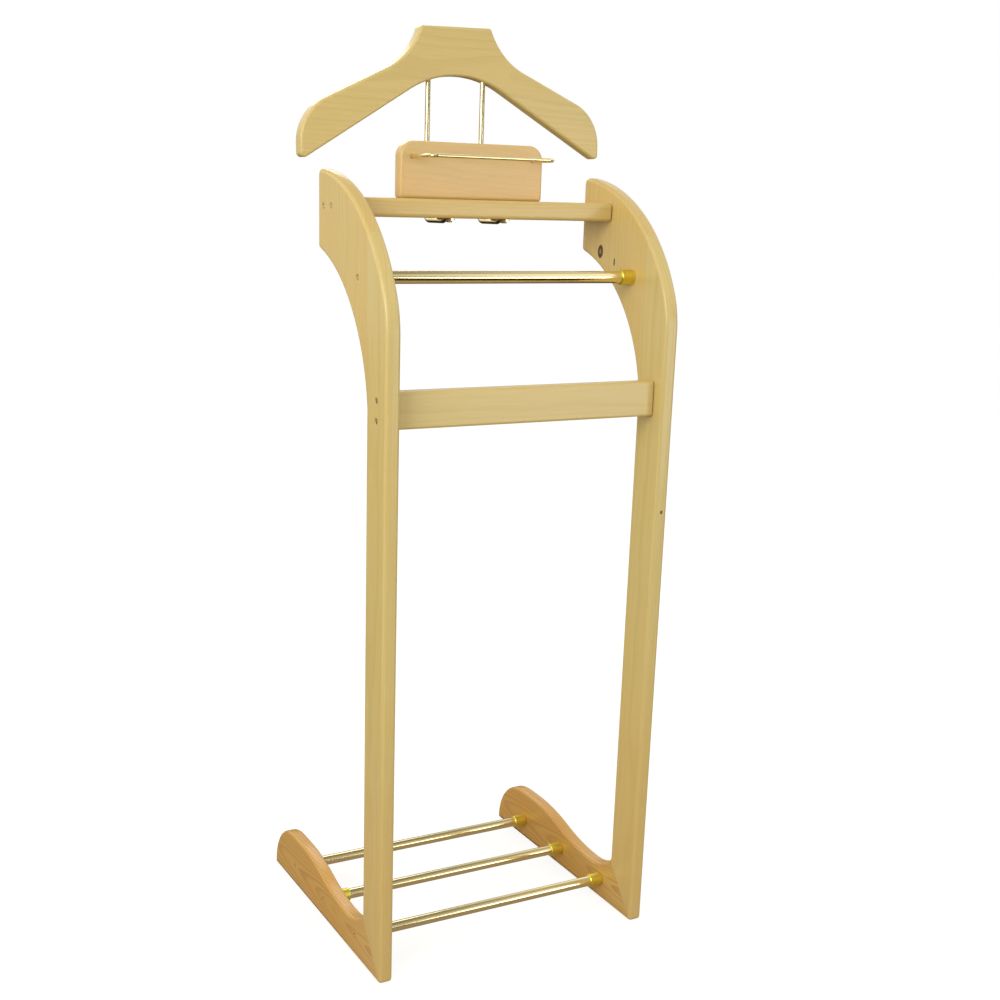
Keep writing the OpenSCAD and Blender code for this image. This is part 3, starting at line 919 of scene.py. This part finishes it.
def hanger_outline(middle_y):
    """Right half of the hanger's outline, from the middle of the neck to that of the arch."""
    z = sizes()
    half = z.hanger_w / 2
    slope, under = z.shoulder_slope, z.under_slope
    down = Vector((math.sin(slope), math.cos(slope)))
    neck_reach = math.sqrt(z.neck_r ** 2 - z.neck_rise ** 2)
    neck_c = Vector((z.neck_w / 2 + neck_reach, z.neck_h + z.neck_rise))
    shoulder = neck_c - z.neck_r * down
    tip_x = half - z.tip_r
    tip_c = Vector((tip_x, (shoulder.dot(down) - z.tip_r - tip_x * down.x) / down.y))
    arch_c = Vector((0, z.arch_h - z.arch_r))
    arch_end = arch_c + z.arch_r * Vector((math.sin(under), math.cos(under)))
    heel_x = half - z.heel_r
    heel_c = Vector((
        heel_x,
        arch_end.y - (heel_x - arch_end.x) * math.tan(under) + z.heel_r / math.cos(under),
    ))
    neck_turn = 90 - math.degrees(slope) - math.degrees(math.asin(z.neck_rise / z.neck_r))
    line = Path("hanger_half", (0, z.neck_h), (0, middle_y, z.tips_z), X, Z)
    line.line_to((z.neck_w / 2, z.neck_h)).arc(neck_c, neck_turn)
    line.line_to(tip_c + z.tip_r * down).arc(tip_c, math.degrees(slope) - 90)
    line.line_to((half, heel_c.y)).arc(heel_c, -90 - math.degrees(under))
    line.line_to(arch_end).arc(arch_c, math.degrees(under))
    return line.finish(), z.tips_z + (heel_c.y + tip_c.y) / 2


class VALET_OT_hanger(bpy.types.Operator):
    """Draw half of the hanger, mirror it, round it, and drill it for its two rods"""

    bl_idname = "valet.hanger"
    bl_label = "Hanger"

    def execute(self, context):
        z, c = sizes(), look()
        low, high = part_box("hanger")
        hanger, pivot_z = hanger_outline(high.y)
        only(hanger)
        mirror = hanger.modifiers.new("Mirror", "MIRROR")
        mirror.use_clip = True
        mirror.merge_threshold = MERGE
        bpy.ops.object.modifier_apply(modifier=mirror.name)
        board_from(hanger, Vector((0, low.y - high.y, 0)))
        round_edges(hanger, z.hanger_round)
        with editing(hanger):
            bpy.ops.transform.rotate(
                value=z.hanger_lean, orient_axis="Y", center_override=(0, low.y, pivot_z)
            )
        for side in SIDES:
            rod_low, rod_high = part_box(f"{side}_hanger_rod")
            mouth = Vector(((rod_low.x + rod_high.x) / 2, (low.y + high.y) / 2, low.z))
            cut(hanger, drill("rod_hole", mouth, Z, z.rod_d / 2 + 0.0003, rod_high.z - low.z))
        hanger.name = "hanger_wood"
        wood = pine("pine_hanger", "hanger", "xyz", tuple(c.pale), tuple(c.pale_late),
                    heart=(0.075, 0.03), slant=(0, 0.015, 0.008), ring=0.0050, contrast=0.30,
                    wobble=0.014, shift=11.6)
        finish_piece(hanger, ["hanger"], wood)
        return {"FINISHED"}


class VALET_OT_tie_bar(bpy.types.Operator):
    """Bend the tie bar from round wire"""

    bl_idname = "valet.tie_bar"
    bl_label = "Tie Bar"

    def execute(self, context):
        z = sizes()
        low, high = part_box("tie_bar")
        r, bend = z.tie_d / 2, z.tie_bend
        height = (low.z + high.z) / 2
        left, right, front = low.x + r, high.x - r, low.y + r
        leg = high.y - front - bend
        wire = Wire("tie_bar_brass", Vector((left, high.y, height)), -Y, r)
        wire.straight(-Y * leg)
        wire.bend(Vector((left + bend, front + bend, height)), Z, 90)
        wire.straight(X * (right - left - 2 * bend))
        wire.bend(Vector((right - bend, front + bend, height)), Z, 90)
        wire.straight(Y * leg)
        metal = brass("brass_tie_bar", tuple(look().tube))
        finish_piece(wire.finish(), ["tie_bar"], metal)
        return {"FINISHED"}


class VALET_OT_hanger_rods(bpy.types.Operator):
    """Bend the two rods, flatten their ends into tongues and drill them"""

    bl_idname = "valet.hanger_rods"
    bl_label = "Hanger Rods"

    def execute(self, context):
        metal = brass("brass_hanger_rods", tuple(look().tube), turned_about="z")
        rod = self.rod()
        for side in SIDES:
            low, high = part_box(f"{side}_hanger_rod")
            piece = copy_to(rod, f"{side}_hanger_rod_brass", X * (low.x + high.x) / 2)
            finish_piece(piece, [f"{side}_hanger_rod"], metal)
        bpy.data.objects.remove(rod)
        return {"FINISHED"}

    def rod(self):
        """One rod at x = 0, drawn downwards from inside the hanger."""
        z = sizes()
        r, bend = z.rod_d / 2, z.rod_bend
        low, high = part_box("left_hanger_rod")
        screw_low, screw_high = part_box("hanger_rod_screws")
        screw_y = (screw_low.y + screw_high.y) / 2
        shelf_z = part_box("top_shelf")[0].z
        y, foot_z = high.y - r, low.z + r
        wire = Wire("rod", Vector((0, y, high.z)), -Z, r)
        wire.straight(-Z * (high.z - foot_z - bend))
        wire.bend(Vector((0, y - bend, foot_z + bend)), X, -90)
        wire.straight(-Y * (wire.at.y - screw_y - z.tongue_back))
        wire.straight(Vector((0, -z.tongue_press, shelf_z - z.tongue_t / 2 - foot_z)))
        wire.squeeze(((high.x - low.x) / 2 / r, 1, z.tongue_t / 2 / r))
        wire.straight(-Y * (wire.at.y - low.y - sum(step for share, step in TONGUE_END)))
        for share, step in TONGUE_END:
            wire.straight(-Y * step)
            wire.squeeze((share, 1, TONGUE_THINNING))
        rod = wire.finish()
        mouth = Vector((0, screw_y, shelf_z - z.tongue_t))
        cut(rod, drill("eye", mouth, Z, z.screw_shank_r + EASE, z.tongue_t + OVERCUT))
        return rod


class VALET_OT_bars(bpy.types.Operator):
    """Turn the four brass tubes"""

    bl_idname = "valet.bars"
    bl_label = "Bars"

    def execute(self, context):
        metal = brass("brass_bars", tuple(look().tube), low=0.09, high=0.20)
        for bars in (["trouser_bar"], SHOE_BARS):
            tube = self.tube(bars[0])
            for bar, (y, height) in zip(bars, bar_places(bars)):
                place = Vector((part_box(bar)[0].x, y, height))
                finish_piece(copy_to(tube, f"{bar}_brass", place), [bar], metal)
            bpy.data.objects.remove(tube)
        return {"FINISHED"}

    def tube(self, bar):
        """One tube as long and thick as the bar, starting at the origin."""
        low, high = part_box(bar)
        span, _, wide = high - low
        r, wall = wide / 2, sizes().tube_wall
        profile = [
            (0, r - wall), (0, r - TUBE_CHAMFER), (TUBE_CHAMFER, r), (span - TUBE_CHAMFER, r),
            (span, r - TUBE_CHAMFER), (span, r - wall),
        ]
        return turned("tube", Vector(), X, profile, 2 * SPIN_STEPS, closed=True)


class VALET_OT_sockets(bpy.types.Operator):
    """Turn a socket for each end of each bar"""

    bl_idname = "valet.sockets"
    bl_label = "Sockets"

    def execute(self, context):
        metal = brass("brass_sockets", tuple(look().socket), low=0.36, high=0.50)
        groups = {
            "trouser_bar_sockets": (["trouser_bar"], SIDES),
            "left_shoe_bar_sockets": (SHOE_BARS, ["left"]),
            "right_shoe_bar_sockets": (SHOE_BARS, ["right"]),
        }
        for node, (bars, sides) in groups.items():
            socket = self.socket(bars[0])
            made = []
            for side in sides:
                inner_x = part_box(f"{side}_post")[side == "left"].x
                made += [
                    copy_to(socket, "socket", (inner_x, *at), math.pi if side == "right" else 0)
                    for at in bar_places(bars)
                ]
            bpy.data.objects.remove(socket)
            finish_piece(join(made, f"{node}_brass"), [node], metal)
        return {"FINISHED"}

    def socket(self, bar):
        """One socket for the bar, standing on the origin and opening along X."""
        z = sizes()
        low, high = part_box(bar)
        group_low, group_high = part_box("left_shoe_bar_sockets")
        reach = group_high.x - group_low.x
        bore, way = (high.z - low.z) / 2, z.screw_shank_r + SOCKET_EASE
        r, lip = bore + z.socket_wall, z.socket_lip
        profile = [
            (0, way), (0, r - lip), (lip, r), (reach - lip, r), (reach, r - lip), (reach, bore),
            (z.socket_base, bore), (z.socket_base, way),
        ]
        return turned("socket", Vector(), X, profile, 48, closed=True)


class VALET_OT_screws(bpy.types.Operator):
    """Turn the screws, cut their cross recesses and set them in place"""

    bl_idname = "valet.screws"
    bl_label = "Screws"

    def execute(self, context):
        z = sizes()
        metal = brass("brass_screws", tuple(look().screw), low=0.22, high=0.40, dull=0.5)
        faces = {side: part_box(f"{side}_post")[side == "right"].x for side in SIDES}
        for side in SIDES:
            node = f"{side}_bar_screws"
            low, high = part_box(node)
            places = [(faces[side], *at) for at in bar_places([*SHOE_BARS, "trouser_bar"])]
            self.set_in(node, self.countersunk(X, high.x - low.x), places, metal)
        for node, found in (("middle_rail_screws", rail_screw_places()),
                            ("shelf_screws", shelf_screw_places())):
            screw = self.countersunk(X, z.long_screw)
            places = [(faces[side], *at) for side in SIDES for at in found]
            self.set_in(node, screw, places, metal)
        low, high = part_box("board_screws")
        middle_y, under = (low.y + high.y) / 2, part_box("top_shelf")[0].z
        places = [(x, middle_y, under) for x in (low.x + z.screw_head_r, high.x - z.screw_head_r)]
        self.set_in("board_screws", self.countersunk(Z, high.z - low.z), places, metal)
        low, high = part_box("hanger_rod_screws")
        middle_y = (low.y + high.y) / 2
        places = [(x, middle_y, low.z) for x in (low.x + z.pan_head_r, high.x - z.pan_head_r)]
        self.set_in("hanger_rod_screws", self.pan_head(high.z - low.z), places, metal)
        return {"FINISHED"}

    def set_in(self, node, screw, places, metal):
        """A copy of the screw at each place; those at the right are turned round to face in."""
        sideways = screw.dimensions.x > screw.dimensions.z
        made = [
            copy_to(screw, "screw", place, math.pi if sideways and place[0] > 0 else 0)
            for place in places
        ]
        bpy.data.objects.remove(screw)
        finish_piece(join(made, f"{node}_brass"), [node], metal)

    def countersunk(self, inward, reach):
        """A countersunk screw that starts below the hole's mouth at the origin."""
        z = sizes()
        r, shank, start = z.screw_head_r, z.screw_shank_r, z.screw_let_in
        point = start + reach
        profile = [
            (start, 0), (start, r - HEAD_EDGE), (start + HEAD_EDGE, r),
            (start + z.screw_cone, shank), (point - z.screw_point, shank),
            (point - POINT_TIP, POINT_R), (point, 0),
        ]
        screw = turned("screw", Vector(), inward, profile)
        self.recess(screw, inward * start, inward, r)
        return screw

    def pan_head(self, reach):
        """A pan-head screw that points upwards, its head's top at the origin."""
        z = sizes()
        r, head, shank = z.pan_head_r, z.pan_head_h, z.screw_shank_r
        flat = 1 - PAN_ROUND
        dome = [
            (head * (1 - math.cos(turn)) * PAN_DOME, r * (flat + PAN_ROUND * math.sin(turn)))
            for turn in (math.radians(degrees) for degrees in range(0, 91, 15))
        ]
        profile = [(0, 0), *dome, (head, r), (head, shank), (reach - z.screw_point, shank),
                   (reach, POINT_TIP * 3), (reach, 0)]
        screw = turned("screw", Vector(), Z, profile)
        self.recess(screw, Vector(), Z, r * RECESS_SHARE)
        return screw

    def recess(self, screw, face, inward, r):
        """Cuts a cross recess, each blade narrower at its foot."""
        z = sizes()
        up = X if abs(inward.dot(Z)) > 0.5 else Z
        for blade in (up, inward.cross(up)):
            only(None)
            turn = Matrix((blade, inward.cross(blade), inward)).transposed().to_euler()
            bpy.ops.mesh.primitive_cube_add(
                size=1, location=face + inward * (z.recess_depth / 2 - EASE), rotation=turn,
                scale=(r * RECESS_SPREAD, z.recess_blade, z.recess_depth + 2 * EASE),
            )
            cutter = bpy.context.object
            place_in_mesh(cutter)
            middle = face.dot(inward) + z.recess_depth / 2
            with editing(cutter):
                pick(cutter, "VERT", lambda v: v.co.dot(inward) > middle)
                bpy.ops.transform.resize(
                    value=tuple(1 - RECESS_TAPER * abs(c) for c in blade),
                    center_override=face + inward * z.recess_depth,
                )
            cut(screw, cutter)


class VALET_OT_inner_pieces(bpy.types.Operator):
    """Give the dowels and plugs inside the stand their raw beech"""

    bl_idname = "valet.inner_pieces"
    bl_label = "Dowels and Plugs"

    def execute(self, context):
        wood = beech("raw_beech")
        for name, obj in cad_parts.items():
            if name.endswith(("_dowels", "_plugs")):
                obj.data.materials.clear()
                obj.data.materials.append(wood)
        return {"FINISHED"}


# ---------------------------------------------------------------- studio


class VALET_OT_studio(bpy.types.Operator):
    """Lay the pale floor, hang the soft lights and set up the camera"""

    bl_idname = "valet.studio"
    bl_label = "Studio"

    def execute(self, context):
        self.floor()
        self.sky()
        s = context.scene.valet_studio
        middle = Vector((0, 0, 0.6))
        self.light("key", (-2.5, -1.3, 1.7), middle, 1.6, s.key)
        self.light("fill", (1.9, -3.0, 0.7), middle, 1.4, s.fill)
        self.light("back", (0.6, 2.2, 2.4), middle, 1.5, s.back)
        camera = bpy.data.cameras.new("camera")
        camera.lens = s.lens
        camera.shift_x, camera.shift_y = s.shift
        eye = bpy.data.objects.new("camera", camera)
        eye.location, eye.rotation_euler = s.eye, s.turn
        context.scene.collection.objects.link(eye)
        context.scene.camera = eye
        context.scene.view_settings.view_transform = "Standard"
        return {"FINISHED"}

    def floor(self):
        only(None)
        bpy.ops.mesh.primitive_circle_add(vertices=96, radius=9, fill_type="NGON")
        ground = bpy.context.object
        ground.name = "floor"
        s = Shader(bpy.data.materials.new("floor"))
        tint = tuple(bpy.context.scene.valet_studio.floor)
        paper = s.node("ShaderNodeBsdfDiffuse", {}, {"Color": (*tint, 1)})
        glow = s.node("ShaderNodeEmission", {}, {"Color": (*tint, 1), "Strength": 1.3})
        # Light bounced off the floor sees a darker copy of it. Glossy rays see a painted
        # reflection: the floor glows dark brown, darker further from the middle, so the brass shows
        # dark bands.
        dim = s.node("ShaderNodeBsdfDiffuse", {}, {"Color": (*grey(tint, 0.45), 1)})
        lit = s.node("ShaderNodeMixShader", {}, {0: 0.72, 1: paper, 2: glow})
        seen = s.node("ShaderNodeLightPath", output="Is Camera Ray")
        where = s.node("ShaderNodeTexCoord", output="Object")
        away = s.node("ShaderNodeVectorMath", {"operation": "LENGTH"}, {0: where}, "Value")
        painted_reflection = s.mix(away.step(0.35, 1.3), (0.34, 0.27, 0.20), (0.035, 0.022, 0.010))
        mirrored = s.node("ShaderNodeEmission", {}, {"Color": painted_reflection})
        glossy = s.node("ShaderNodeLightPath", output="Is Glossy Ray")
        other = s.node("ShaderNodeMixShader", {}, {0: glossy, 1: dim, 2: mirrored})
        both = s.node("ShaderNodeMixShader", {}, {0: seen, 1: other, 2: lit})
        s.node("ShaderNodeOutputMaterial", {}, {"Surface": both})
        ground.data.materials.append(s.block)

    def light(self, name, place, target, size, watts):
        lamp = bpy.data.lights.new(name, "AREA")
        lamp.energy, lamp.shape, lamp.size = watts, "DISK", size
        obj = bpy.data.objects.new(name, lamp)
        obj.location = place
        obj.rotation_euler = (target - Vector(place)).to_track_quat("-Z", "Y").to_euler()
        bpy.context.scene.collection.objects.link(obj)

    def sky(self):
        """White to the camera, soft to the wood; metal mirrors a dark door and a dim ceiling."""
        s = Shader(bpy.data.worlds.new("studio"))
        bpy.context.scene.world = s.block
        where = s.node("ShaderNodeTexCoord", output="Generated")
        aside, along, height = (
            s.node("ShaderNodeSeparateXYZ", {}, {0: where}, axis) for axis in "XYZ"
        )
        low = 1 - height.step(0.12, 0.34)
        door = aside.step(0.05, 0.30) * (1 - along.step(-0.60, -0.35)) * low
        shade = aside.step(0.05, 0.20) * (1 - aside.step(0.38, 0.52)) * MIRRORED_DIM
        ceiling = height.step(0.66, 0.92) * MIRRORED_DIM
        bright = (1 - low * HORIZON_DIM) * (1 - door) * (1 - shade) * (1 - ceiling)
        level = s.mix(bright, (0.050, 0.030, 0.010), (1.15, 1.13, 1.08))
        room = s.node("ShaderNodeBackground", {}, {"Color": level})
        soft = s.node("ShaderNodeBackground", {}, {"Color": (0.80, 0.80, 0.80, 1)})
        plain = s.node("ShaderNodeBackground", {}, {"Color": (1.0, 1.0, 1.0, 1)})
        glossy = s.node("ShaderNodeLightPath", output="Is Glossy Ray")
        seen = s.node("ShaderNodeLightPath", output="Is Camera Ray")
        around = s.node("ShaderNodeMixShader", {}, {0: glossy, 1: soft, 2: room})
        both = s.node("ShaderNodeMixShader", {}, {0: seen, 1: around, 2: plain})
        s.node("ShaderNodeOutputWorld", {}, {"Surface": both})


# ---------------------------------------------------------------- panel and start


STEPS = (
    VALET_OT_studio, VALET_OT_side_frames, VALET_OT_middle_rail, VALET_OT_shelf,
    VALET_OT_back_board, VALET_OT_hanger, VALET_OT_tie_bar, VALET_OT_hanger_rods,
    VALET_OT_bars, VALET_OT_sockets, VALET_OT_screws, VALET_OT_inner_pieces,
)


class VALET_PT_panel(bpy.types.Panel):
    """Lists the steps that build the stand"""

    bl_label = "Valet Stand"
    bl_idname = "VALET_PT_panel"
    bl_space_type = "VIEW_3D"
    bl_region_type = "UI"
    bl_category = "Valet Stand"

    def draw(self, context):
        for step in STEPS:
            self.layout.operator(step.bl_idname)


GROUPS = {
    "valet_sizes": ValetSizes, "valet_look": ValetLook, "valet_studio": ValetStudio,
}


def register():
    for group in GROUPS.values():
        bpy.utils.register_class(group)
    for step in (*STEPS, VALET_PT_panel):
        bpy.utils.register_class(step)
    for name, group in GROUPS.items():
        setattr(bpy.types.Scene, name, bpy.props.PointerProperty(type=group))


def unregister():
    for name in GROUPS:
        delattr(bpy.types.Scene, name)
    for step in (VALET_PT_panel, *reversed(STEPS)):
        bpy.utils.unregister_class(step)
    for group in GROUPS.values():
        bpy.utils.unregister_class(group)


def main():
    register()
    for step in STEPS:
        module, name = step.bl_idname.split(".")
        getattr(getattr(bpy.ops, module), name)()
    only(None)


if __name__ == "__main__":
    main()
